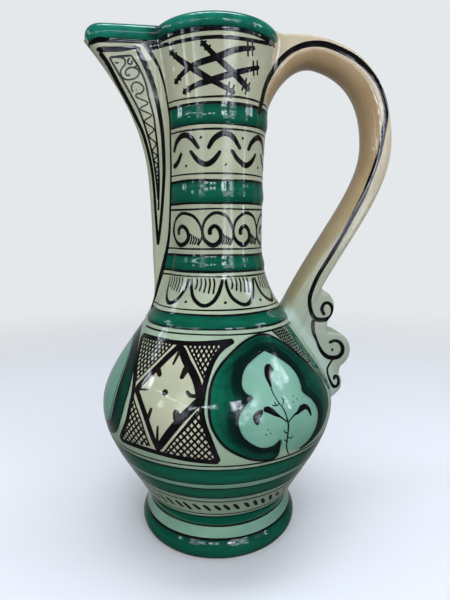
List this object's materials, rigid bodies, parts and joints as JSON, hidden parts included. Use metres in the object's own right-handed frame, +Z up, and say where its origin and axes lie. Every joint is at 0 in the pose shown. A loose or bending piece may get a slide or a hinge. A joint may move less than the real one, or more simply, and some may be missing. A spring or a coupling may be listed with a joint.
{
  "type": "ceramic pitcher",
  "caption": "Tall glazed ceramic pitcher with a round belly on a flared foot, a slim banded neck, a beak spout with a keel and a strap handle ending in scrolls.",
  "frame": {"origin": "middle of the foot's resting face, on the pitcher's axis", "axes": "+Z up along the axis of the body, +X towards the handle, spout towards -X, so Y is across the mirror plane of the handle and spout"},
  "size_m": [0.1933, 0.154, 0.3203],
  "materials": {
    "body_glaze": "gloss, painted bands",
    "foot_glaze": "gloss, painted bands",
    "green_glaze": "gloss",
    "handle_glaze": "gloss, painted lines"
  },
  "bodies": {
    "root": {"foot_ring": "foot_glaze", "lower_bowl": "body_glaze", "shoulder": "body_glaze", "neck": "body_glaze", "rim_coil": "green_glaze", "spout": "body_glaze", "lip_coil": "green_glaze", "handle": "handle_glaze", "handle_scroll": "handle_glaze"}
  },
  "joints": []
}
